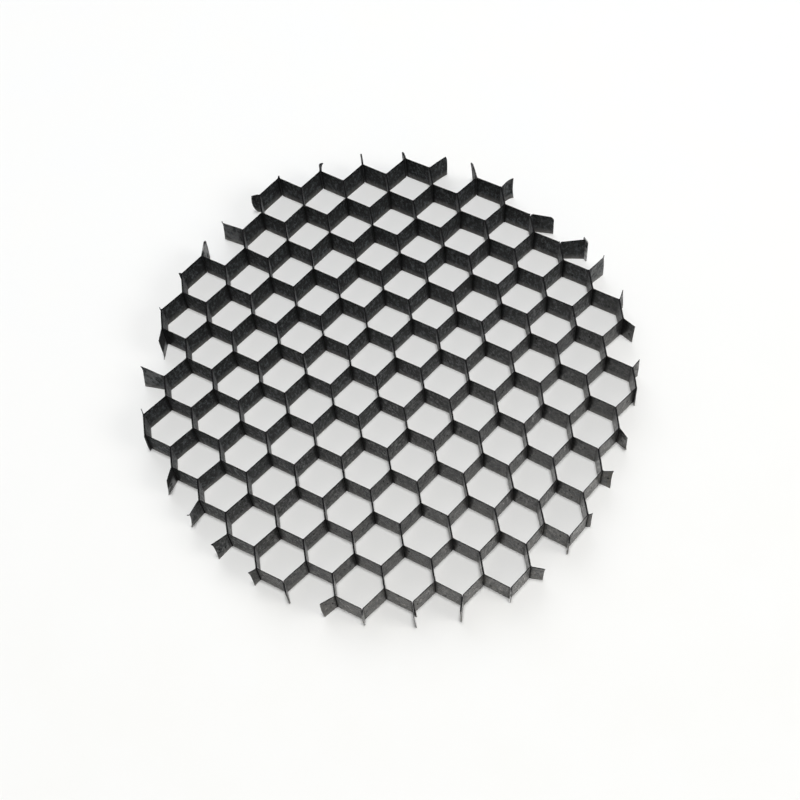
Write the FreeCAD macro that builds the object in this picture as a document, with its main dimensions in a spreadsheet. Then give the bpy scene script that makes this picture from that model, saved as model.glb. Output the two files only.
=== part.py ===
import FreeCAD, Part
import math
import os

# Honeycomb grid: a disc of expanded aluminium honeycomb core, painted black.
# The core is a stack of thin foil ribbons. Each ribbon is folded to and fro between two glue planes
# and is bonded to its neighbours by short adhesive lines, so the walls on the glue planes are two foils
# thick and the slanting walls are one foil thick. The disc was cut from the sheet by hand: every ribbon
# ends in a wall cut off part way, and many of these stubs are bent.
# Frame: millimetres, X across the ribbons, Y along them, Z up. The disc lies on Z = 0 and the
# origin is the middle of its overall box.

SIZES = [
    ("cell_size", 6.35, "distance between the two glued walls of a cell"),
    ("row_rise", 5.42, "step along a ribbon from one row of cells to the next"),
    ("node_wall", 3.16, "length of a glued wall"),
    ("core_height", 5.0, "height of the ribbons"),
    ("foil_thickness", 0.10, "foil with its coat of paint"),
    ("bond_thickness", 0.02, "adhesive between two foils"),
    ("bond_length", 2.6, "length of an adhesive line along its wall"),
    ("bond_inset", 0.15, "adhesive stops this far inside the top and bottom edges"),
    ("fold_radius", 0.30, "radius of a fold on the middle of the foil"),
    ("rim_radius", 34.9, "radius at which the pulls below are stated"),
    ("skew", 0.91, "sideways pull at the far rim"),
    ("spread", 0.60, "sideways pull at the right rim"),
    ("fan", 1.59, "sideways pull that grows towards both sides"),
    ("bow", -0.81, "lengthwise pull at the near and far rims"),
    ("twist", -0.58, "lengthwise pull at the right rim"),
    ("dish", -1.47, "lengthwise pull that grows towards both sides"),
    ("roll", -1.19, "lengthwise pull that grows towards the near and far rims"),
    ("pinch_x", 15.2, "place where the rim is pinched together"),
    ("pinch_y", -27.3, "place where the rim is pinched together"),
    ("pinch_depth", 0.48, "how hard the rim is pinched"),
    ("pinch_reach", 10.2, "how far the pinch is felt"),
    ("dent_reach", 7.0, "how far a dent is felt"),
    ("fold_share", 0.4, "largest share of a wall that one fold may take"),
    ("least_bond", 0.6, "a wall cut to less than this share of its length holds no adhesive"),
]

# Places where handling pushed the lattice over: x, y, push in x, push in y. The push fades out around them.
DENTS = [
    (-35, 9, -0.30, 0.35),
    (23, 29, -0.25, 0.40),
    (33, 14, -0.20, 0.20),
    (-10, -31, -0.25, 0.35),
    (12, -25, 0.20, -0.20),
    (24, -18, -0.25, 0.0),
]

# Rows of cells from the near rim to the far rim
FIRST_ROW = -6
LAST_ROW = 7

# Where the cut crosses each ribbon, counted in walls along it: an even step is a glued wall, an odd step
# the slanting wall after it, so 14.5 is half way along the glued wall of row 7.
# Each line is name, left glue plane, near cut, bend of the near stub, far cut, bend of the far stub.
# Bends are in degrees, anticlockwise from above.
RIBBONS = [
    ("ribbon_01", -12, -0.15, 45, 1.22, -48),
    ("ribbon_02", -11, -2.58, 28, 3.97, 9),
    ("ribbon_02_tip", -11, 5.39, 40, 7.12, -20),
    ("ribbon_03", -10, -4.67, 10, 9.11, 0),
    ("ribbon_04", -9, -6.65, 0, 10.83, -13),
    ("ribbon_05", -8, -8.29, 0, 10.83, -13),
    ("ribbon_06", -7, -9.53, 7, 11.90, 5),
    ("ribbon_07", -6, -9.53, 7, 13.30, 28),
    ("ribbon_08", -5, -10.57, -10, 14.14, -12),
    ("ribbon_09", -4, -11.26, -7, 14.14, -12),
    ("ribbon_10", -3, -11.26, -7, 14.39, -4),
    ("ribbon_11", -2, -11.66, -3, 14.39, -4),
    ("ribbon_12", -1, -11.26, 23, 14.63, -4),
    ("ribbon_13", 0, -11.70, -15, 14.63, -4),
    ("ribbon_14", 1, -11.70, -15, 14.41, 5),
    ("ribbon_15", 2, -11.18, 0, 14.41, 5),
    ("ribbon_16", 3, -11.18, 0, 13.83, -3),
    ("ribbon_17", 4, -10.49, 20, 12.93, 4),
    ("ribbon_18", 5, -9.30, -17, 12.93, 4),
    ("ribbon_19", 6, -9.30, -17, 11.58, -5),
    ("ribbon_20", 7, -8.12, 40, 9.88, -48),
    ("ribbon_21", 8, -6.40, 12, 7.96, -37),
    ("ribbon_22", 9, -4.47, -22, 5.80, 2),
    ("ribbon_23", 10, -2.17, -65, -0.63, 3),
    ("ribbon_23_tip", 10, 1.49, -15, 3.41, 24),
]

doc = FreeCAD.newDocument("HoneycombGrid")
sheet = doc.addObject("Spreadsheet::Sheet", "Sizes")
sheet.Label = "Sizes"


def fill_sheet():
    """Write the driving dimensions into the sheet, one named row each."""
    for row, (name, value, note) in enumerate(SIZES, start=1):
        sheet.set("A%d" % row, name)
        sheet.set("B%d" % row, str(value))
        sheet.set("C%d" % row, note)
        sheet.setAlias("B%d" % row, name)
    doc.recompute()


def size(name):
    """Value of one driving dimension."""
    return float(sheet.get(name))


def fading(x, y, reach):
    return math.exp(-(x * x + y * y) / (2 * reach ** 2))


def pinch(x, y):
    """Walls on both sides of the pinch come closer together."""
    spot = FreeCAD.Vector(size("pinch_x"), size("pinch_y"), 0)
    side = FreeCAD.Vector(-spot.y, spot.x, 0).normalize()
    away = FreeCAD.Vector(x, y, 0) - spot
    reach = size("pinch_reach")
    return side * (size("pinch_depth") * away.dot(side) / reach * fading(away.x, away.y, reach))


def pulled(x, y):
    """The even lattice pulled out of true as the core was expanded, cut and handled."""
    rim = size("rim_radius")
    across = x / rim
    along = y / rim
    moved_x = x + size("skew") * along + size("spread") * across ** 3 + size("fan") * across ** 2 * along
    moved_y = y + size("bow") * along ** 2 + size("twist") * across ** 3
    moved_y += size("dish") * across ** 2 * along + size("roll") * across * along ** 2
    point = FreeCAD.Vector(moved_x, moved_y, 0) - pinch(x, y)
    for dent_x, dent_y, push_x, push_y in DENTS:
        share = fading(moved_x - dent_x, moved_y - dent_y, size("dent_reach"))
        point += FreeCAD.Vector(push_x, push_y, 0) * share
    return point


def glued_wall(plane, row):
    """Near and far end of the bond line of one glued wall."""
    x = plane * size("cell_size") / 2
    y = row * size("row_rise")
    half = size("node_wall") / 2
    return pulled(x, y - half), pulled(x, y + half)


def left_of(direction):
    return FreeCAD.Vector(-direction.y, direction.x, 0)


def fold_point(left_plane, step):
    """Middle of the foil where a ribbon folds at the start of a step."""
    row = step // 2
    on_left = (left_plane + row) % 2 == 1
    near, far = glued_wall(left_plane if on_left else left_plane + 1, row)
    offset = (size("foil_thickness") + size("bond_thickness")) / 2
    normal = left_of((far - near).normalize()) * (-offset if on_left else offset)
    return (near if step % 2 == 0 else far) + normal


def turned(point, pivot, degrees):
    angle = math.radians(degrees)
    arm = point - pivot
    x = arm.x * math.cos(angle) - arm.y * math.sin(angle)
    y = arm.x * math.sin(angle) + arm.y * math.cos(angle)
    return pivot + FreeCAD.Vector(x, y, 0)


def cut_point(left_plane, position, pivot_step, bend):
    """Middle of the foil where the cut crosses a wall, with its stub bent at the last fold."""
    step = math.floor(position)
    start = fold_point(left_plane, step)
    end = fold_point(left_plane, step + 1)
    point = start + (end - start) * (position - step)
    return turned(point, fold_point(left_plane, pivot_step), bend)


def ribbon_path(left_plane, near_cut, near_bend, far_cut, far_bend):
    """Middle line of one ribbon from its near cut to its far cut."""
    first = math.floor(near_cut) + 1
    last = math.ceil(far_cut) - 1
    path = [cut_point(left_plane, near_cut, first, near_bend)]
    path += [fold_point(left_plane, step) for step in range(first, last + 1)]
    path.append(cut_point(left_plane, far_cut, last, far_bend))
    return path


def side_line(path, side):
    """One face of a ribbon as points (start, middle, end) of each fold, offset to one side of the path."""
    shift = side * size("foil_thickness") / 2
    headings = [(b - a).normalize() for a, b in zip(path, path[1:])]
    points = [path[0] + left_of(headings[0]) * shift]
    for index, corner in enumerate(path[1:-1]):
        before = headings[index]
        after = headings[index + 1]
        turn = math.atan2(before.x * after.y - before.y * after.x, before.dot(after))
        half_tan = abs(math.tan(turn / 2))
        room = size("fold_share") * min((corner - path[index]).Length, (path[index + 2] - corner).Length)
        radius = min(size("fold_radius"), room / half_tan)
        hand = 1 if turn > 0 else -1
        start = corner - before * (radius * half_tan)
        centre = start + left_of(before) * (hand * radius)
        reach = radius - hand * shift
        outward = (corner - centre).normalize()
        end = corner + after * (radius * half_tan)
        points.append((centre + (start - centre).normalize() * reach,
                       centre + outward * reach,
                       centre + (end - centre).normalize() * reach))
    points.append(path[-1] + left_of(headings[-1]) * shift)
    return points


def side_edges(points):
    """Straight walls and rounded folds along one face of a ribbon."""
    edges = []
    here = points[0]
    for start, middle, end in points[1:-1]:
        edges.append(Part.LineSegment(here, start))
        edges.append(Part.Arc(start, middle, end))
        here = end
    edges.append(Part.LineSegment(here, points[-1]))
    return edges


def disc_middle():
    """Middle of the overall box of every ribbon."""
    xs = []
    ys = []
    for name, plane, near_cut, near_bend, far_cut, far_bend in RIBBONS:
        path = ribbon_path(plane, near_cut, near_bend, far_cut, far_bend)
        for edge in side_edges(side_line(path, 1)) + side_edges(side_line(path, -1)):
            box = edge.toShape().BoundBox
            xs += [box.XMin, box.XMax]
            ys += [box.YMin, box.YMax]
    return FreeCAD.Vector((min(xs) + max(xs)) / 2, (min(ys) + max(ys)) / 2, 0)


def base_plane(body):
    return [item for item in body.Origin.OriginFeatures if item.Role == "XY_Plane"][0]


def make_ribbon(name, path):
    """One folded foil ribbon: its outline seen from above, raised to the core height."""
    body = doc.addObject("PartDesign::Body", name)
    body.Label = name
    sketch = body.newObject("Sketcher::SketchObject", name + "_outline")
    sketch.AttachmentSupport = [(base_plane(body), "")]
    sketch.MapMode = "FlatFace"
    left = side_line(path, 1)
    right = side_line(path, -1)
    edges = side_edges(left) + side_edges(right)
    edges.append(Part.LineSegment(left[0], right[0]))
    edges.append(Part.LineSegment(left[-1], right[-1]))
    sketch.addGeometry(edges, False)
    pad = body.newObject("PartDesign::Pad", name + "_pad")
    pad.Profile = sketch
    pad.Length = size("core_height")
    pad.setExpression("Length", "<<Sizes>>.core_height")
    sketch.Visibility = False
    return body


def bonded_share(plane, row):
    """Start and end, as shares of one glued wall, of the stretch that both its ribbons cover."""
    spans = []
    for left_plane in (plane - 1, plane):
        for name, ribbon_plane, near_cut, near_bend, far_cut, far_bend in RIBBONS:
            start = max(near_cut - 2 * row, 0)
            end = min(far_cut - 2 * row, 1)
            if ribbon_plane == left_plane and end > start:
                spans.append((start, end, near_bend if start > 0 else 0, far_bend if end < 1 else 0))
    if len(spans) < 2:
        return None
    bent = any(span[2] or span[3] for span in spans)
    start = max(span[0] for span in spans)
    end = min(span[1] for span in spans)
    return None if bent or end - start < size("least_bond") else (start, end)


def make_bond_strip(name, plane, row, shift):
    """Adhesive between the two foils of one glued wall."""
    start, end = bonded_share(plane, row)
    near, far = glued_wall(plane, row)
    heading = (far - near).normalize()
    middle = near + (far - near) * ((start + end) / 2) - shift
    length = size("bond_length") * (end - start)
    corner = middle - heading * (length / 2) - left_of(heading) * (size("bond_thickness") / 2)
    strip = doc.addObject("Part::Box", name)
    strip.setExpression("Length", "<<Sizes>>.bond_length * %.2f" % (end - start))
    strip.setExpression("Width", "<<Sizes>>.bond_thickness")
    strip.setExpression("Height", "<<Sizes>>.core_height - 2 * <<Sizes>>.bond_inset")
    turn = FreeCAD.Rotation(FreeCAD.Vector(0, 0, 1), math.degrees(math.atan2(heading.y, heading.x)))
    strip.Placement = FreeCAD.Placement(corner + FreeCAD.Vector(0, 0, size("bond_inset")), turn)
    strip.setExpression("Placement.Base.z", "<<Sizes>>.bond_inset")
    return strip


def make_bond_lines(name, plane, shift):
    """All the adhesive lines on one glue plane."""
    strips = []
    for number, row in enumerate(range(FIRST_ROW, LAST_ROW + 1), start=1):
        if (plane + row) % 2 == 1 and bonded_share(plane, row):
            strips.append(make_bond_strip("%s_row_%d" % (name, number), plane, row, shift))
    lines = doc.addObject("Part::Compound", name)
    lines.Links = strips
    lines.Label = name
    return lines


def build():
    fill_sheet()
    shift = disc_middle()
    parts = []
    for name, plane, near_cut, near_bend, far_cut, far_bend in RIBBONS:
        path = ribbon_path(plane, near_cut, near_bend, far_cut, far_bend)
        parts.append(make_ribbon(name, [point - shift for point in path]))
    left_planes = [ribbon[1] for ribbon in RIBBONS]
    for number, plane in enumerate(range(min(left_planes) + 1, max(left_planes) + 1), start=1):
        parts.append(make_bond_lines("bond_lines_%02d" % number, plane, shift))
    return parts


def check_and_export(parts):
    doc.recompute()
    for item in doc.Objects:
        if "Invalid" in item.State or "Error" in item.State:
            raise RuntimeError("%s is %s" % (item.Name, item.State))
    os.makedirs("parts", exist_ok=True)
    for part in parts:
        if part.Shape.isNull() or not part.Shape.isValid():
            raise RuntimeError("bad shape: " + part.Label)
        part.Shape.exportStep("parts/%s.step" % part.Label)


check_and_export(build())
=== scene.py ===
import math

import bpy
import numpy as np
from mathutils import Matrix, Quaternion, Vector, noise


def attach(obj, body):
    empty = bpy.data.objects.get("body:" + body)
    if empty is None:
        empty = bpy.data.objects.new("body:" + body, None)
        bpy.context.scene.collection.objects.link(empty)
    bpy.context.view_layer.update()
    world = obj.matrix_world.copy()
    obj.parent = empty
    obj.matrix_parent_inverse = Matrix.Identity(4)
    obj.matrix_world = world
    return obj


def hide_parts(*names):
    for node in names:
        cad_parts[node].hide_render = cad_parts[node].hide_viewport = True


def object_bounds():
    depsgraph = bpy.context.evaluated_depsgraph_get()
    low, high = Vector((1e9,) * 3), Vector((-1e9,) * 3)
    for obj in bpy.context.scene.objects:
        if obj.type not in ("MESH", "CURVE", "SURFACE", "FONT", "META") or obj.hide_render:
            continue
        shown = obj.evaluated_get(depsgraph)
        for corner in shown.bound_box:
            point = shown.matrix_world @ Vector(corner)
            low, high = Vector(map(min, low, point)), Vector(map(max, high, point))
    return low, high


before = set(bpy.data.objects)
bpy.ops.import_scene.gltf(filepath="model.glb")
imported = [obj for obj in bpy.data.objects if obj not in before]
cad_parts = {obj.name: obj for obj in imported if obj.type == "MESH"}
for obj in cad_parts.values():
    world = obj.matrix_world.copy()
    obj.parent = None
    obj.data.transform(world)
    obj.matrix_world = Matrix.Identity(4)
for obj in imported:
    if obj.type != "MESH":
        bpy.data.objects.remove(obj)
cad_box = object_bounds()

# Honeycomb grid: a disc of expanded foil core, painted matt black, with a hand-cut ragged rim.
# Lengths are in millimetres until a mesh is made, and MM turns them into the frame's metres.

MM = 0.001
TINY = 1e-6
WELD = 0.001            # CAD corners closer than this are one corner
SQUARE = 0.3            # corners with a smaller cosine than this are the square ones at a ribbon's ends
WALL_MIN = 0.19         # a straight stretch longer than this is a wall, a shorter one is part of a fold
FOLD_RADIUS = 0.30
FOLD_STEPS = 5
FOLD_ROOM = 0.4         # a fold takes no more than this share of a wall
WALL_STEP = 0.34        # spacing of mesh columns along a wall
STUB_STEP = 0.12        # the same on a stub, which may be curled
EDGE_STEP = 0.05        # the last column before a cut
LEVELS = (0.0, 0.02, 0.07, 0.15, 0.26, 0.38, 0.5, 0.62, 0.74, 0.83, 0.89, 0.94, 0.975, 1.0)
RIM_LEVEL = 0.8         # a torn corner spreads over the wall above this share of its height
SHARP_ANGLE = 40        # edges that turn by more degrees than this aren't smoothed

# How far handling has put the foil out of flat
SWAY = 0.055            # whole walls lean and shift
SWAY_SIZE = 9.0
SWAY_RISE = 0.8         # the field changes this much more slowly up a wall
BUCKLE = 0.030          # shallow dents in the foil
BUCKLE_SIZE = 2.2
BUCKLE_RISE = 0.7
BUCKLE_SHIFT = Vector((31, 7, 3))
NICK = 0.035            # uneven top and bottom edges
NICK_SIZE = 0.9
NICK_SHIFT = Vector((5, 11, 17))
NOISE_SEED = 1          # the sway field comes from the clock unless this is set

# Adhesive lines
BOND_HALF = 0.012       # half the gap between two glued foils
BOND_PARTING = 1.43     # the foils part this far from the middle of a glued wall
BOND_PAST = 0.34        # the fillet runs this far past the end of the CAD strip
BOND_FULL = 2.5         # shorter strips end at a cut, and have no fillet
BOND_COLUMNS = 17
BOND_RISE = 0.08        # how far the fillet stands above and below the CAD strip
BOND_FILL = 1.1         # the fillet is this much wider than the gap between the foils
HALF_FOIL = 0.05        # half a foil's thickness

# The cut stubs, each with the length of its top and bottom edges. top_turn and bottom_turn are how far these
# turn from the stub's CAD direction, in degrees anticlockwise from above, and turn swings the whole stub from
# its fold. curl turns the tip further, hook turns the last bit of it and top_hook only its top corner. belly
# bulges the cut edge, and top_spike and bottom_spike are torn corners. thin is how thin the paint is on the
# whole stub, and bare is how much has come off its cut end. deep is how dark the painted shade at its fold
# is, where that isn't as elsewhere on the rim. black is the share of its height above which painted shade
# blackens it.
STUBS = {
    ("ribbon_01", "near"): dict(top=0.60, bottom=0.35, top_turn=28, bottom_turn=-28, deep=1.0),
    ("ribbon_01", "far"): dict(top=0.60, bottom=0.30, top_spike=0.30, curl=15),
    ("ribbon_02", "near"): dict(top=1.85, bottom=2.35, top_turn=8, bottom_turn=-7, belly=0.10,
                                bottom_spike=0.25, bare=0.4, deep=1.6, thin=0.45, black=0.45),
    ("ribbon_02", "far"): dict(top=3.20, bottom=3.60, top_turn=-7, bottom_turn=7, top_spike=0.50, thin=0.16),
    ("ribbon_02_tip", "near"): dict(top=1.75, bottom=1.95, bottom_spike=0.75, belly=0.15, bare=0.5,
                                    deep=6.0, thin=0.6, black=0.22),
    ("ribbon_02_tip", "far"): dict(top=0.40, bottom=0.35, curl=-30),
    ("ribbon_03", "near"): dict(top=2.00, bottom=2.60, top_turn=12, top_spike=0.80, top_hook=-95,
                                bottom_spike=0.15, belly=-0.15, bare=0.4),
    ("ribbon_03", "far"): dict(top=0.36, bottom=0.15, curl=40),
    ("ribbon_04", "near"): dict(top=2.35, bottom=2.60, top_turn=-5, bottom_turn=8, top_spike=0.20,
                                belly=-0.18),
    ("ribbon_05", "near"): dict(top=1.05, bottom=1.10, top_turn=-14, bottom_turn=12, top_spike=0.12,
                                belly=-0.10),
    ("ribbon_06", "far"): dict(top=3.05, bottom=3.55, top_spike=0.45, top_hook=-70, belly=-0.08, thin=0.18),
    ("ribbon_07", "far"): dict(top=1.10, bottom=1.00, top_turn=15, bottom_turn=-14, belly=0.35,
                               bottom_spike=-0.30),
    ("ribbon_08", "near"): dict(top=2.15, bottom=2.10, top_turn=-6, bottom_turn=6, belly=0.15),
    ("ribbon_11", "near"): dict(top=2.10, bottom=2.10, top_turn=1, bottom_turn=6, bare=0.5),
    ("ribbon_12", "near"): dict(turn=-26, top=0.40, bottom=0.75, curl=60),
    ("ribbon_13", "near"): dict(top=2.20, bottom=2.20, bare=0.5),
    ("ribbon_15", "near"): dict(top=0.45, bottom=0.60, bottom_turn=-12, thin=0.3, bare=1.3),
    ("ribbon_16", "near"): dict(top=0.45, bottom=0.60, bottom_turn=-12, thin=0.3),
    ("ribbon_16", "far"): dict(top=3.00, bottom=2.95, top_spike=-0.20, belly=0.08, curl=-6),
    ("ribbon_17", "near"): dict(top=1.80, bottom=1.70, top_turn=-2, bottom_turn=2, top_spike=0.08),
    ("ribbon_18", "near"): dict(top=0.99, bottom=0.99, bare=0.5),
    ("ribbon_19", "far"): dict(top=2.30, bottom=2.20, top_turn=20, bottom_turn=10, curl=-38, belly=-0.22,
                               thin=0.14),
    ("ribbon_20", "near"): dict(top=0.55, bottom=0.60, top_turn=20, bottom_turn=-10, top_spike=0.12),
    ("ribbon_20", "far"): dict(top=3.35, bottom=3.41, top_turn=-3, top_spike=-0.60, thin=0.03),
    ("ribbon_21", "near"): dict(top=1.35, bottom=1.50, top_turn=16, bottom_turn=-12, top_spike=0.10,
                                belly=-0.12),
    ("ribbon_21", "far"): dict(top=3.62, bottom=3.62, top_turn=3, bottom_turn=-3, curl=-4),
    ("ribbon_22", "near"): dict(top=1.70, bottom=1.60, top_turn=-8, bottom_turn=8, top_spike=0.08,
                                bottom_spike=0.15, deep=0.6),
    ("ribbon_22", "far"): dict(top=2.85, bottom=2.80, top_turn=3, bottom_turn=-3, top_spike=0.45,
                               top_hook=45, belly=0.15, thin=0.14),
    ("ribbon_23", "near"): dict(top=0.65, bottom=0.58, top_turn=-12, bottom_turn=7, deep=1.0),
    ("ribbon_23", "far"): dict(top=1.35, bottom=1.35, top_turn=5, bottom_turn=-7, top_spike=0.12,
                               belly=0.05, bare=0.1),
    ("ribbon_23_tip", "near"): dict(top=1.98, bottom=1.95, bottom_spike=0.05, deep=1.6),
    ("ribbon_23_tip", "far"): dict(top=1.35, bottom=1.55, top_turn=7, bottom_turn=-11, top_spike=0.20,
                                   bare=0.1),
}

# Stubs of two foils that are still glued to each other, and so are cut and bent alike
GLUED_STUBS = {
    ("ribbon_04", "ribbon_05", "far"): dict(top=2.50, bottom=2.40, belly=0.45, top_hook=-40, hook=12,
                                            thin=0.6),
    ("ribbon_09", "ribbon_10", "near"): dict(top=0.85, bottom=0.80, bare=0.7),
    ("ribbon_10", "ribbon_11", "far"): dict(top=1.85, bottom=1.30, top_hook=-115),
    ("ribbon_12", "ribbon_13", "far"): dict(top=1.88, bottom=1.75, curl=12, thin=0.15),
    ("ribbon_14", "ribbon_15", "far"): dict(top=1.20, bottom=1.10, curl=20, thin=0.3),
    ("ribbon_17", "ribbon_18", "far"): dict(top=2.70, bottom=2.45, top_hook=25, bottom_turn=-5, curl=8,
                                            thin=0.15),
}
for (one, other, end), stub in GLUED_STUBS.items():
    STUBS[one, end] = stub
    STUBS[other, end] = stub

HOOK = 0.35             # length of a hooked tip
HOOK_RISE = 5           # a hooked top corner fades out below as this power of the height
STRETCHED_BY = 2 / 3    # the share of a stub's length by which it has its full stretch
BARE_REACH = 0.45       # paint is off this far from a cut
BARE_FADE = 0.7         # and that much less of it at the top than at the bottom
BLACK_FADE = 0.15       # height over which the painted shade on a stub's upper part ends

# A scrap of the next glued wall still hangs on the end of this stub
SCRAP_RIBBON = "ribbon_21"
SCRAP_REACH = 0.5
SCRAP_FOIL = 0.16
SCRAP_BARE = 0.75
SCRAP_HEADING = np.array([-0.35, 0.93, 0.0])
SCRAP_COLUMNS = 5

# Painted shade in the corners between walls, where the walls shade each other
CORNER_REACH = 0.65     # how far they reach along the wall where two foils part
CORNER_LOW = 0.12       # the same at the lower edge
CORNER_FROM = 0.1       # share of the height where the reach starts to grow
CORNER_RISE = 0.45      # and how much further up it is full
CORNER_DEPTH = 0.70     # how dark the painted shade in them is
CORNER_AT_RIM = 0.3     # the same where the corner opens to the rim, where less shade falls
SAME_CORNER = 0.6       # folds of two ribbons this close make one corner
CELL_AHEAD = 6.0        # a corner opens to the rim when the place this far ahead of it
RIM_RADIUS = 34.0       # is further than this from the middle
CORNER_INNER = 0.30     # how dark the painted shade inside a fold is
CORNER_INNER_REACH = 0.4

# Paint. Scales are in cells of the pattern to a metre, and depths in metres.
THICK_PAINT = (0.005, 0.0068, 0.0080, 1)
# Thin paint and dust grain, with painted light: lighter and warmer at the near side, darker and bluer at the
# far side
THIN_PAINT_FAR_SHADED = (0.012, 0.0135, 0.0140, 1)
THIN_PAINT_NEAR_LIT = (0.058, 0.052, 0.043, 1)
DUST_FAR_SHADED = (0.044, 0.055, 0.062, 1)
DUST_NEAR_LIT = (0.135, 0.120, 0.098, 1)
FLECK = (0.002, 0.002, 0.002, 1)
# Painted light: the foot of each wall lightened where the floor throws light up onto it
FOOT_FLOOR_LIGHT = (0.175, 0.168, 0.156, 1)
FOOT_LIGHT_SHARE = 0.7         # how strongly painted light from the floor lightens the foot
# Painted shade: the near-black colour laid into the corners
CORNER_SHADE = (0.0008, 0.0008, 0.0008, 1)
TOP_EDGE = (0.005, 0.005, 0.006, 1)
BARE_METAL = (0.62, 0.62, 0.62, 1)
SPRAY_RISE = 0.45       # grain is this much coarser up the wall than along it
CLOUD_SCALE = 260
GRAIN_SCALE = 2400
FLECK_SCALE = 2300.0
FLAKE_SCALE = 900
PIT_SCALE = 2300
PIT_DEPTH = 0.00010
PIT_DULLNESS = 0.25
EDGE_DULLNESS = 0.4
FLECK_DULLNESS = 0.9
CORNER_DULLNESS = 1.5

# Adhesive, in the same units
GLUE_DARK = (0.0015, 0.0014, 0.0013, 1)
GLUE_LIGHT = (0.004, 0.0035, 0.003, 1)
GLUE_TONE_SCALE = 2500
GLUE_GLOSS_SCALE = 1800
GLUE_RIPPLE_SCALE = 3000
GLUE_RIPPLE_DEPTH = 0.00003

# Floor, in metres
FLOOR_HALF = 1.5
FLOOR_CHANGE = 0.035    # its painted light tint turns from warm to cool between this far nearer and this far beyond the middle
FLOOR_NEAR = (0.878, 0.876, 0.858, 1)
FLOOR_FAR = (0.878, 0.884, 0.884, 1)
FLOOR_CLOUD = (0.885, 0.885, 0.874, 1)
FLOOR_SCALE = 90


def top_loop(node):
    """Corners of a ribbon's top face, in order round its edge with the foil on the left."""
    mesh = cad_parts[node].data
    top = max(vertex.co.z for vertex in mesh.vertices) / MM
    edges = set()
    for face in mesh.polygons:
        corners = [mesh.vertices[index].co / MM for index in face.vertices]
        if min(corner.z for corner in corners) > top - WELD:
            keys = [(round(corner.x / WELD), round(corner.y / WELD)) for corner in corners]
            edges.update(zip(keys, keys[1:] + keys[:1]))
    following = {a: b for a, b in edges if (b, a) not in edges}
    loop = [min(following)]
    while following[loop[-1]] != loop[0]:
        loop.append(following[loop[-1]])
    return np.array(loop) * WELD, top


def cross(a, b):
    """How far b turns from a, anticlockwise positive, as their cross product."""
    return a[0] * b[1] - a[1] * b[0]


def left_of(heading):
    """The heading a quarter turn to the left."""
    return np.array([-heading[1], heading[0]])


def meeting(point_a, heading_a, point_b, heading_b):
    """Where two lines cross."""
    along = cross(point_b - point_a, heading_b) / cross(heading_a, heading_b)
    return point_a + heading_a * along


def fold_line(node):
    """Near cut, folds and far cut of a ribbon's middle surface, and the foil's thickness and height."""
    loop, height = top_loop(node)
    spans = np.roll(loop, -1, axis=0) - loop
    lengths = np.linalg.norm(spans, axis=1)
    headings = spans / lengths[:, None]
    count = len(loop)
    caps = [k for k in range(count) if lengths[k] < WALL_MIN
            and abs(headings[k] @ headings[k - 1]) < SQUARE
            and abs(headings[k] @ headings[(k + 1) % count]) < SQUARE]
    first, last = caps
    foil = lengths[first]
    side = [k for k in range(first + 1, last) if lengths[k] > WALL_MIN]
    starts = [loop[k] + left_of(headings[k]) * foil / 2 for k in side]
    ends = [loop[k + 1] + left_of(headings[k]) * foil / 2 for k in side]
    walls = [headings[k] for k in side]
    line = [starts[0]]
    for k in range(len(side) - 1):
        line.append(meeting(starts[k], walls[k], starts[k + 1], walls[k + 1]))
    line.append(ends[-1])
    if line[0][1] > line[-1][1]:
        line.reverse()
    return np.array(line), foil, height


def rounded(line):
    """Columns of the mesh along a fold line: points, and the column in the middle of each fold."""
    points = [line[0]]
    fold_columns = []
    step_length = STUB_STEP
    for before, corner, after in zip(line, line[1:], line[2:]):
        arm_in = corner - before
        arm_out = after - corner
        heading_in = arm_in / np.linalg.norm(arm_in)
        heading_out = arm_out / np.linalg.norm(arm_out)
        turn = math.atan2(cross(heading_in, heading_out), heading_in @ heading_out)
        half_tan = abs(math.tan(turn / 2))
        room = FOLD_ROOM * min(np.linalg.norm(arm_in), np.linalg.norm(arm_out))
        radius = min(FOLD_RADIUS, room / max(half_tan, TINY))
        hand = math.copysign(1, turn)
        start = corner - heading_in * radius * half_tan
        centre = start + left_of(heading_in) * hand * radius
        run_to(points, start, step_length)
        step_length = WALL_STEP
        for step in range(1, FOLD_STEPS * 2 + 1):
            points.append(centre + turned(start - centre, turn * step / (FOLD_STEPS * 2)))
            if step == FOLD_STEPS:
                fold_columns.append(len(points) - 1)
    run_to(points, line[-1], STUB_STEP)
    return np.array(points), fold_columns


def run_to(points, target, step_length):
    """Evenly spaced columns from the last point up to and including the target."""
    here = points[-1]
    steps = max(1, round(np.linalg.norm(target - here) / step_length))
    for step in range(1, steps + 1):
        points.append(here + (target - here) * step / steps)


def with_cut_columns(points, fold_columns):
    """Adds a column close to each cut, so that bare metal stays at the edge."""
    shares = []
    for end, inner in ((0, 1), (-1, -2)):
        step = points[inner] - points[end]
        shares.append(points[end] + step * EDGE_STEP / np.linalg.norm(step))
    points = np.vstack([points[:1], shares[:1], points[1:-1], shares[1:], points[-1:]])
    return points, [column + 1 for column in fold_columns]


def turned(vectors, angle):
    """Vectors seen from above, turned anticlockwise."""
    x = vectors[..., 0] * np.cos(angle) - vectors[..., 1] * np.sin(angle)
    y = vectors[..., 0] * np.sin(angle) + vectors[..., 1] * np.cos(angle)
    return np.stack([x, y], axis=-1)


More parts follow.
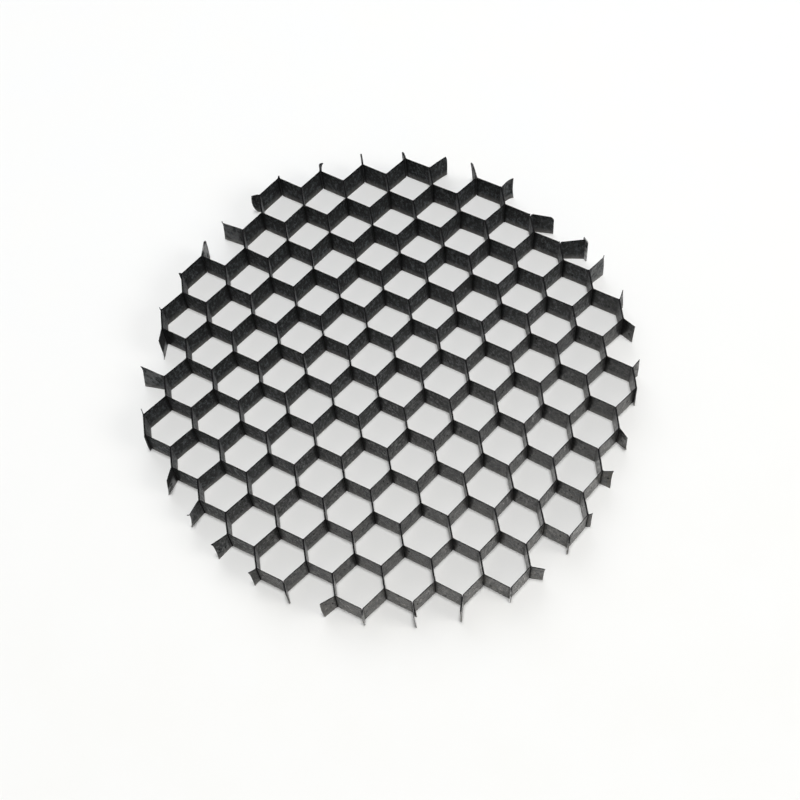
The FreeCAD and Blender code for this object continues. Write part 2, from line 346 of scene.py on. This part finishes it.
def shape_stub(grid, pivot, top, bottom, top_turn=0, bottom_turn=0, curl=0, hook=0, top_hook=0,
               belly=0, top_spike=0, bottom_spike=0, **paint):
    """Turns, stretches and curls the columns after the pivot, in a grid of columns x levels x 2."""
    levels = np.array(LEVELS)
    bulge = 4 * levels * (1 - levels)
    spans = grid[pivot + 1:] - grid[pivot:-1]
    reach = np.cumsum(np.linalg.norm(spans[:, 0], axis=1))
    length = reach[-1]
    rim = np.clip((levels - RIM_LEVEL) / (1 - RIM_LEVEL), 0, 1) ** 2
    sole = np.clip((1 - RIM_LEVEL - levels) / (1 - RIM_LEVEL), 0, 1) ** 2
    wanted = bottom + (top - bottom) * levels + belly * bulge
    wanted = wanted + top_spike * rim + bottom_spike * sole
    share = (reach / length)[:, None]
    settle = np.clip(reach / (2 * FOLD_RADIUS), 0, 1)[:, None]
    tip = np.clip((reach - length + HOOK) / HOOK, 0, 1)[:, None]
    bend = np.radians(bottom_turn + (top_turn - bottom_turn) * levels)[None, :] * settle
    bend = bend + math.radians(curl) * share ** 2
    bend = bend + np.radians(hook + top_hook * levels ** HOOK_RISE)[None, :] * tip
    stretch = 1 + (wanted / length - 1)[None, :] * np.clip(share / STRETCHED_BY, 0, 1)
    grid[pivot + 1:] = grid[pivot] + np.cumsum(turned(spans * stretch[..., None], bend), axis=0)


def swayed(grid, normals):
    """The foil pushed out of true by fields that neighbours share, so that bonded walls stay together."""
    moved = grid.copy()
    for index in np.ndindex(grid.shape[:2]):
        place = Vector(grid[index])
        sway = noise.noise_vector(Vector((place.x, place.y, place.z * SWAY_RISE)) / SWAY_SIZE)
        buckle = noise.noise(Vector((place.x, place.y, place.z * BUCKLE_RISE)) / BUCKLE_SIZE + BUCKLE_SHIFT)
        push = normals[index] * buckle * BUCKLE
        moved[index] += np.array([sway.x * SWAY + push[0], sway.y * SWAY + push[1], 0])
    for column in range(grid.shape[0]):
        for level, inward in ((0, 1), (-1, -1)):
            place = Vector(grid[column, level]) / NICK_SIZE
            moved[column, level, 2] += inward * NICK * abs(noise.noise(place + NICK_SHIFT))
    return moved


def foil_normals(grid):
    """Which way the left side of the foil faces at every column and level."""
    along = np.gradient(grid, axis=0)
    up = np.gradient(grid, axis=1)
    normals = np.cross(up, along)
    return normals / np.linalg.norm(normals, axis=2, keepdims=True)


def sheet_faces(columns, levels, first):
    """Faces of a sheet whose two sides are grids of vertices, one after the other, starting at first."""
    def at(side, column, level):
        return first + (side * columns + column) * levels + level

    faces = []
    top = levels - 1
    end = columns - 1
    for c in range(end):
        for h in range(top):
            faces.append((at(0, c, h), at(0, c, h + 1), at(0, c + 1, h + 1), at(0, c + 1, h)))
            faces.append((at(1, c, h), at(1, c + 1, h), at(1, c + 1, h + 1), at(1, c, h + 1)))
        faces.append((at(0, c, 0), at(0, c + 1, 0), at(1, c + 1, 0), at(1, c, 0)))
        faces.append((at(0, c, top), at(1, c, top), at(1, c + 1, top), at(0, c + 1, top)))
    for h in range(top):
        faces.append((at(0, 0, h), at(1, 0, h), at(1, 0, h + 1), at(0, 0, h + 1)))
        faces.append((at(0, end, h), at(0, end, h + 1), at(1, end, h + 1), at(1, end, h)))
    return faces


def make_piece(name, sheets, node, material):
    """One piece standing for a CAD node. Each sheet is a grid, half its thickness at each column, its bare
    metal, and how deep it is in a corner. Bare metal is columns x levels, and so is a corner on each side."""
    low, high = (np.array(corner) / MM for corner in cad_box)
    vertices = []
    faces = []
    marks = {"bare": [], "corner": [], "height": []}
    for grid, half_thickness, bare, corners in sheets:
        push = foil_normals(grid) * half_thickness[:, None, None]
        faces += sheet_faces(grid.shape[0], grid.shape[1], len(vertices))
        for side, corner in zip((grid + push, grid - push), corners):
            vertices += np.clip(side, low, high).reshape(-1, 3).tolist()
            marks["bare"] += bare.ravel().tolist()
            marks["corner"] += corner.ravel().tolist()
            marks["height"] += np.tile(LEVELS, grid.shape[0]).tolist()
    mesh = bpy.data.meshes.new(name)
    mesh.from_pydata((np.array(vertices) * MM).tolist(), [], faces)
    for mark_name, values in marks.items():
        mark(mesh, mark_name, values)
    mesh.shade_smooth()
    mesh.set_sharp_from_angle(angle=math.radians(SHARP_ANGLE))
    mesh.materials.append(material)
    piece = bpy.data.objects.new(name, mesh)
    bpy.context.collection.objects.link(piece)
    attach(piece, "root")
    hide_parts(node)


def mark(mesh, name, values):
    """A number at each vertex, for the materials."""
    attribute = mesh.attributes.new(name, "FLOAT", "POINT")
    attribute.data.foreach_set("value", values)


def stood_up(plan, low, high):
    """A plan of columns x levels x 2 with its heights added."""
    heights = np.broadcast_to(low + np.array(LEVELS) * (high - low), plan.shape[:2])
    return np.concatenate([plan, heights[..., None]], axis=2)


def make_ribbon(node, material):
    """One foil ribbon in place of its plain CAD solid."""
    line, foil, height = fold_line(node)
    for end, cut, fold in (("near", 0, 1), ("far", -1, -2)):
        turn = math.radians(STUBS.get((node, end), {}).get("turn", 0))
        line[cut] = line[fold] + turned(line[cut] - line[fold], turn)
    points, folds = with_cut_columns(*rounded(line))
    plan = np.repeat(points[:, None, :], len(LEVELS), axis=1)
    bare = np.zeros(plan.shape[:2])
    if (node, "far") in STUBS:
        shape_stub(plan, folds[-1], **STUBS[node, "far"])
        bare[folds[-1]:] = worn(plan[folds[-1]:], **STUBS[node, "far"])
    if (node, "near") in STUBS:
        flipped = plan[::-1].copy()
        shape_stub(flipped, len(points) - 1 - folds[0], **STUBS[node, "near"])
        plan = flipped[::-1]
        bare[folds[0]::-1] = worn(plan[folds[0]::-1], **STUBS[node, "near"])
    grid = stood_up(plan, 0, height)
    grid = swayed(grid, foil_normals(grid))
    sheets = [(grid, np.full(len(points), foil / 2), bare, corner_painted_shade(node, points, folds))]
    if node == SCRAP_RIBBON:
        sheets.append(scrap(grid[-1]))
    make_piece(node.replace("ribbon", "foil"), sheets, node, material)


def stub_painted_shade(black=1, **rest):
    """How much painted shade blackens a stub at each level, above its black share."""
    return np.clip((np.array(LEVELS) - black) / BLACK_FADE, 0, 1)


def worn(stub, thin=0, bare=0, **rest):
    """How much metal shows on a stub: thin paint all over it, and bare metal at its cut, mostly low down."""
    reach = np.linalg.norm(stub - stub[:1], axis=2)
    at_cut = np.clip((reach - reach[-1:] + BARE_REACH) / BARE_REACH, 0, 1)
    settled = np.clip(reach / FOLD_RADIUS - 1, 0, 1)
    return (thin * settled + bare * at_cut * (1 - BARE_FADE * np.array(LEVELS))) * (1 - stub_painted_shade(**rest))


def deep_corners():
    """Where the painted shade in the corner at a stub's fold differs from the rest of the rim, and how dark
    it is.
    """
    found = []
    for (node, end), stub in STUBS.items():
        if "deep" in stub:
            line = fold_line(node)[0]
            found.append((line[1] if end == "near" else line[-2], stub["deep"]))
    return found


def corner_painted_shade(node, points, folds):
    """How much painted shade each place gets in a corner, on the left and on the right side of the foil. On
    the outer side of a fold two foils part, and the narrow corner between them holds adhesive and gets the
    darkest painted shade."""
    steps = np.linalg.norm(np.diff(points, axis=0), axis=1)
    reach = np.concatenate([[0], np.cumsum(steps)])
    risen = np.clip((np.array(LEVELS) - CORNER_FROM) / CORNER_RISE, 0, 1)
    fill = CORNER_LOW + (CORNER_REACH - CORNER_LOW) * risen
    left = np.zeros((len(points), len(LEVELS)))
    # Painted shade on a near stub above its black share
    left[:folds[0]] = stub_painted_shade(**STUBS.get((node, "near"), {}))
    right = left.copy()
    for fold in folds:
        before = points[fold] - points[fold - FOLD_STEPS]
        after = points[fold + FOLD_STEPS] - points[fold]
        # The narrow corner opens away from the glued wall
        mouth = -1 if abs(before[0]) > abs(after[0]) else 1
        ahead = points[fold] + np.array([0, mouth * CELL_AHEAD])
        depth = CORNER_AT_RIM if np.linalg.norm(ahead) > RIM_RADIUS else CORNER_DEPTH
        for spot, deep in deep_spots:
            if np.linalg.norm(points[fold] - spot) < SAME_CORNER:
                depth = deep
        away = np.clip(np.abs(reach - reach[fold]) - FOLD_RADIUS / 2, 0, None)[:, None]
        outer, inner = (right, left) if cross(before, after) > 0 else (left, right)
        np.maximum(outer, depth * np.exp(-away / fill), out=outer)
        np.maximum(inner, CORNER_INNER * np.exp(-away / CORNER_INNER_REACH), out=inner)
    return left, right


def scrap(end):
    """A strip of foil across the end of a stub, lengthwise of the grid."""
    reaches = np.linspace(-SCRAP_REACH, SCRAP_REACH, SCRAP_COLUMNS)
    grid = end[None, :, :] + reaches[:, None, None] * SCRAP_HEADING
    clean = np.zeros(grid.shape[:2])
    return grid, np.full(SCRAP_COLUMNS, SCRAP_FOIL / 2), clean + SCRAP_BARE, (clean, clean)


def strip_rectangles(node):
    """Middle, heading, length and lowest and highest point of every adhesive strip of a CAD node."""
    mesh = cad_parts[node].data
    corners = np.array([vertex.co for vertex in mesh.vertices]) / MM
    keys = [tuple(np.round(corner / WELD).astype(int)) for corner in corners]
    group = {key: key for key in keys}

    def root(key):
        while group[key] != key:
            key = group[key]
        return key

    for face in mesh.polygons:
        for index in face.vertices[1:]:
            group[root(keys[index])] = root(keys[face.vertices[0]])
    strips = {}
    for key, corner in zip(keys, corners):
        strips.setdefault(root(key), []).append(corner)
    found = []
    for first in sorted(strips):
        strip = np.array(strips[first])
        middle = (strip.min(axis=0) + strip.max(axis=0)) / 2
        arms = strip[:, :2] - middle[:2]
        far_arm = arms[np.argmax(arms @ np.array([0, 1.0]))]
        heading = far_arm / np.linalg.norm(far_arm)
        found.append((middle[:2], heading, 2 * (arms @ heading).max(), strip[:, 2].min(), strip[:, 2].max()))
    return found


def make_bond_lines(node, material):
    """Adhesive between glued foils, with a fillet of adhesive and paint where the foils part."""
    sheets = []
    for middle, heading, length, low, high in strip_rectangles(node):
        past = BOND_PAST if length > BOND_FULL else 0.0
        reaches = np.linspace(-1, 1, BOND_COLUMNS) * (length / 2 + past)
        gap = np.clip(np.abs(reaches) - BOND_PARTING, 0, None)
        half = BOND_HALF + BOND_FILL * gap ** 2 / (2 * (FOLD_RADIUS + HALF_FOIL))
        plan = np.repeat((middle + reaches[:, None] * heading)[:, None, :], len(LEVELS), axis=1)
        grid = stood_up(plan, low - BOND_RISE, high + BOND_RISE)
        grid = swayed(grid, foil_normals(grid))
        clean = np.zeros(grid.shape[:2])
        sheets.append((grid, half, clean, (clean, clean)))
    make_piece(node.replace("bond_lines", "adhesive"), sheets, node, material)


class Nodes:
    """Short way to add and join shader nodes."""

    def __init__(self, material):
        material.use_nodes = True
        self.tree = material.node_tree
        self.shader = self.tree.nodes["Principled BSDF"]

    def add(self, kind, **inputs):
        node = self.tree.nodes.new(kind)
        for name, value in inputs.items():
            self.join(value, node.inputs[name.replace("_", " ")])
        return node

    def join(self, value, socket):
        if isinstance(value, bpy.types.NodeSocket):
            self.tree.links.new(value, socket)
        else:
            socket.default_value = value

    def noise(self, place, scale, detail=2.0, roughness=0.5):
        node = self.add("ShaderNodeTexNoise", Vector=place, Scale=scale, Detail=detail, Roughness=roughness)
        return node.outputs["Fac"]

    def ramp(self, value, low, high, out_low=0.0, out_high=1.0):
        node = self.add("ShaderNodeMapRange", Value=value)
        node.inputs["From Min"].default_value = low
        node.inputs["From Max"].default_value = high
        node.inputs["To Min"].default_value = out_low
        node.inputs["To Max"].default_value = out_high
        return node.outputs["Result"]

    def mix(self, share, a, b):
        node = self.tree.nodes.new("ShaderNodeMix")
        node.data_type = "RGBA"
        for value, socket in ((share, node.inputs[0]), (a, node.inputs[6]), (b, node.inputs[7])):
            self.join(value, socket)
        return node.outputs[2]

    def stretched(self, place, scale):
        node = self.tree.nodes.new("ShaderNodeVectorMath")
        node.operation = "MULTIPLY"
        self.join(place, node.inputs[0])
        node.inputs[1].default_value = scale
        return node.outputs["Vector"]

    def along(self, place, direction):
        node = self.tree.nodes.new("ShaderNodeVectorMath")
        node.operation = "DOT_PRODUCT"
        self.join(place, node.inputs[0])
        node.inputs[1].default_value = direction
        return node.outputs["Value"]

    def attribute(self, name):
        node = self.tree.nodes.new("ShaderNodeAttribute")
        node.attribute_name = name
        return node.outputs["Fac"]

    def maths(self, operation, a, b=0.0):
        node = self.tree.nodes.new("ShaderNodeMath")
        node.operation = operation
        node.use_clamp = True
        self.join(a, node.inputs[0])
        self.join(b, node.inputs[1])
        return node.outputs[0]


def painted_foil():
    """Thin sprayed matt black over aluminium: cloudy, speckled, with a dull sheen, and bare at the cuts, with
    painted light and painted shade laid into its colour.
    """
    material = bpy.data.materials.new("painted_foil")
    nodes = Nodes(material)
    shader = nodes.shader.inputs
    place = nodes.add("ShaderNodeTexCoord").outputs["Object"]
    spray = nodes.stretched(place, (1.0, 1.0, SPRAY_RISE))
    height = nodes.attribute("height")
    corner = nodes.attribute("corner")

    # Clouds of thicker paint, grain, and small flecks with no dust on them
    cloud = nodes.ramp(nodes.noise(place, CLOUD_SCALE, 3), 0.35, 0.7)
    grain = nodes.ramp(nodes.noise(spray, GRAIN_SCALE, 3, 0.8), 0.49, 0.62)
    dots = nodes.add("ShaderNodeTexVoronoi", Vector=spray, Scale=FLECK_SCALE)
    dot = nodes.ramp(dots.outputs["Distance"], 0.40, 0.25)
    fleck = nodes.maths("MULTIPLY", dot, nodes.ramp(dots.outputs["Color"], 0.72, 0.85))

    # Painted light: the thin paint and the dust grain turn lighter and warmer towards the near side of the
    # grid, darker and bluer towards the far side
    near_light = nodes.ramp(nodes.along(place, (3.0, -8.0, 0.0)), 0.0, 0.25)
    thin_paint_and_light = nodes.mix(near_light, THIN_PAINT_FAR_SHADED, THIN_PAINT_NEAR_LIT)
    dust_and_light = nodes.mix(near_light, DUST_FAR_SHADED, DUST_NEAR_LIT)
    colour = nodes.mix(cloud, THICK_PAINT, thin_paint_and_light)
    colour = nodes.mix(grain, colour, dust_and_light)
    colour = nodes.mix(fleck, colour, FLECK)

    # Painted light along the foot where the floor throws light up, painted shade near black in the corners,
    # black along the top edge, and bare metal at the cuts
    foot = nodes.maths("MULTIPLY", nodes.ramp(height, 0.30, 0.02), FOOT_LIGHT_SHARE)
    colour = nodes.mix(foot, colour, FOOT_FLOOR_LIGHT)
    colour = nodes.mix(corner, colour, CORNER_SHADE)
    edge = nodes.ramp(height, 0.975, 0.995)
    colour = nodes.mix(edge, colour, TOP_EDGE)
    flaked = nodes.ramp(nodes.noise(place, FLAKE_SCALE, 2), 0.35, 0.55)
    bare = nodes.maths("MULTIPLY", nodes.attribute("bare"), flaked)
    nodes.join(nodes.mix(bare, colour, BARE_METAL), shader["Base Color"])
    nodes.join(bare, shader["Metallic"])

    # Dull at the far side and glossier at the near side, and dull in pits, flecks, corners and the top edge
    dullness = nodes.ramp(nodes.along(place, (-4.5, 9.0, 0.0)), -0.30, 0.15, 0.08, 0.50)
    pits = nodes.maths("MULTIPLY", nodes.maths("SUBTRACT", 1.0, grain), PIT_DULLNESS)
    rough = nodes.maths("ADD", dullness, pits)
    rough = nodes.maths("ADD", rough, nodes.maths("MULTIPLY", edge, EDGE_DULLNESS))
    rough = nodes.maths("MAXIMUM", rough, nodes.maths("MULTIPLY", fleck, FLECK_DULLNESS))
    rough = nodes.maths("MAXIMUM", rough, nodes.maths("MULTIPLY", corner, CORNER_DULLNESS))
    nodes.join(rough, shader["Roughness"])
    shader["Specular IOR Level"].default_value = 0.17
    shader["Sheen Weight"].default_value = 0.10
    shader["Sheen Roughness"].default_value = 0.3
    pitting = nodes.noise(spray, PIT_SCALE, 2, 0.6)
    bump = nodes.add("ShaderNodeBump", Height=pitting, Strength=1.0, Distance=PIT_DEPTH)
    nodes.join(bump.outputs["Normal"], shader["Normal"])
    return material


def dark_adhesive():
    """Cured adhesive between the foils, brown-black and slightly glossy."""
    material = bpy.data.materials.new("adhesive")
    nodes = Nodes(material)
    shader = nodes.shader.inputs
    place = nodes.add("ShaderNodeTexCoord").outputs["Object"]
    tone = nodes.ramp(nodes.noise(place, GLUE_TONE_SCALE, 3), 0.3, 0.7)
    nodes.join(nodes.mix(tone, GLUE_DARK, GLUE_LIGHT), shader["Base Color"])
    nodes.join(nodes.ramp(nodes.noise(place, GLUE_GLOSS_SCALE, 2), 0.3, 0.7, 0.85, 1.0), shader["Roughness"])
    shader["Specular IOR Level"].default_value = 0.2
    ripple = nodes.noise(place, GLUE_RIPPLE_SCALE, 2)
    bump = nodes.add("ShaderNodeBump", Height=ripple, Strength=0.3, Distance=GLUE_RIPPLE_DEPTH)
    nodes.join(bump.outputs["Normal"], shader["Normal"])
    return material


def pale_floor():
    """A pale matt surface with faint clouds, and a painted tint of warmer light on the near side."""
    material = bpy.data.materials.new("floor")
    nodes = Nodes(material)
    shader = nodes.shader.inputs
    place = nodes.add("ShaderNodeTexCoord").outputs["Object"]
    tone = nodes.ramp(nodes.noise(place, FLOOR_SCALE, 4), 0.3, 0.7)
    far = nodes.ramp(nodes.along(place, (0.0, 1.0, 0.0)), -FLOOR_CHANGE, FLOOR_CHANGE)
    pale = nodes.mix(far, FLOOR_NEAR, FLOOR_FAR)
    nodes.join(nodes.mix(tone, pale, FLOOR_CLOUD), shader["Base Color"])
    shader["Roughness"].default_value = 0.9
    shader["Specular IOR Level"].default_value = 0.1
    return material


def make_floor():
    """The surface under the grid, which isn't part of it."""
    half = FLOOR_HALF
    corners = [(-half, -half, 0), (half, -half, 0), (half, half, 0), (-half, half, 0)]
    mesh = bpy.data.meshes.new("floor")
    mesh.from_pydata(corners, [], [(0, 1, 2, 3)])
    mesh.materials.append(pale_floor())
    floor = bpy.data.objects.new("floor", mesh)
    bpy.context.collection.objects.link(floor)


def make_lamp(name, place, width, watts, colour):
    """A round soft light aimed at the middle of the grid."""
    data = bpy.data.lights.new(name, "AREA")
    data.shape = "DISK"
    data.size = width
    data.energy = watts
    data.color = colour
    lamp = bpy.data.objects.new(name, data)
    lamp.location = place
    lamp.rotation_mode = "QUATERNION"
    lamp.rotation_quaternion = (-Vector(place)).to_track_quat("-Z", "Y")
    bpy.context.collection.objects.link(lamp)


def make_light():
    """A small high key, a big soft light from the far side, a side light, and a little from all round."""
    make_lamp("key", place=(0.02, -0.02, 1.2), width=0.2, watts=10.3, colour=(1.0, 1.0, 1.0))
    make_lamp("soft", place=(-0.1, 0.8, 0.8), width=1.0, watts=3.2, colour=(0.96, 0.98, 1.0))
    make_lamp("side", place=(0.8, -0.4, 0.7), width=0.6, watts=2.6, colour=(1.0, 0.98, 0.94))
    world = bpy.data.worlds.new("room")
    world.use_nodes = True
    background = world.node_tree.nodes["Background"]
    background.inputs["Color"].default_value = (0.98, 0.99, 1.0, 1)
    background.inputs["Strength"].default_value = 0.15
    bpy.context.scene.world = world


def make_camera():
    """Looks down from the near side, a little to the left, with the picture's top leaning right."""
    azimuth = math.radians(4.4)
    elevation = math.radians(66.6)
    roll = math.radians(6.5)
    aim = Vector((0.88, -2.32, 0)) * MM
    distance = 224.8 * MM
    level = math.cos(elevation)
    forward = Vector((math.sin(azimuth) * level, math.cos(azimuth) * level, -math.sin(elevation)))
    data = bpy.data.cameras.new("camera")
    data.sensor_width = 36
    data.lens = 71.8
    data.clip_start = 0.01
    camera = bpy.data.objects.new("camera", data)
    camera.location = aim - forward * distance
    camera.rotation_mode = "QUATERNION"
    camera.rotation_quaternion = forward.to_track_quat("-Z", "Y") @ Quaternion((0, 0, 1), -roll)
    bpy.context.collection.objects.link(camera)
    bpy.context.scene.camera = camera


noise.seed_set(NOISE_SEED)
deep_spots = deep_corners()
foil_paint = painted_foil()
adhesive = dark_adhesive()
for node_name in sorted(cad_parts):
    if node_name.startswith("ribbon"):
        make_ribbon(node_name, foil_paint)
    else:
        make_bond_lines(node_name, adhesive)
make_floor()
make_light()
make_camera()
bpy.context.scene.view_settings.view_transform = "Standard"
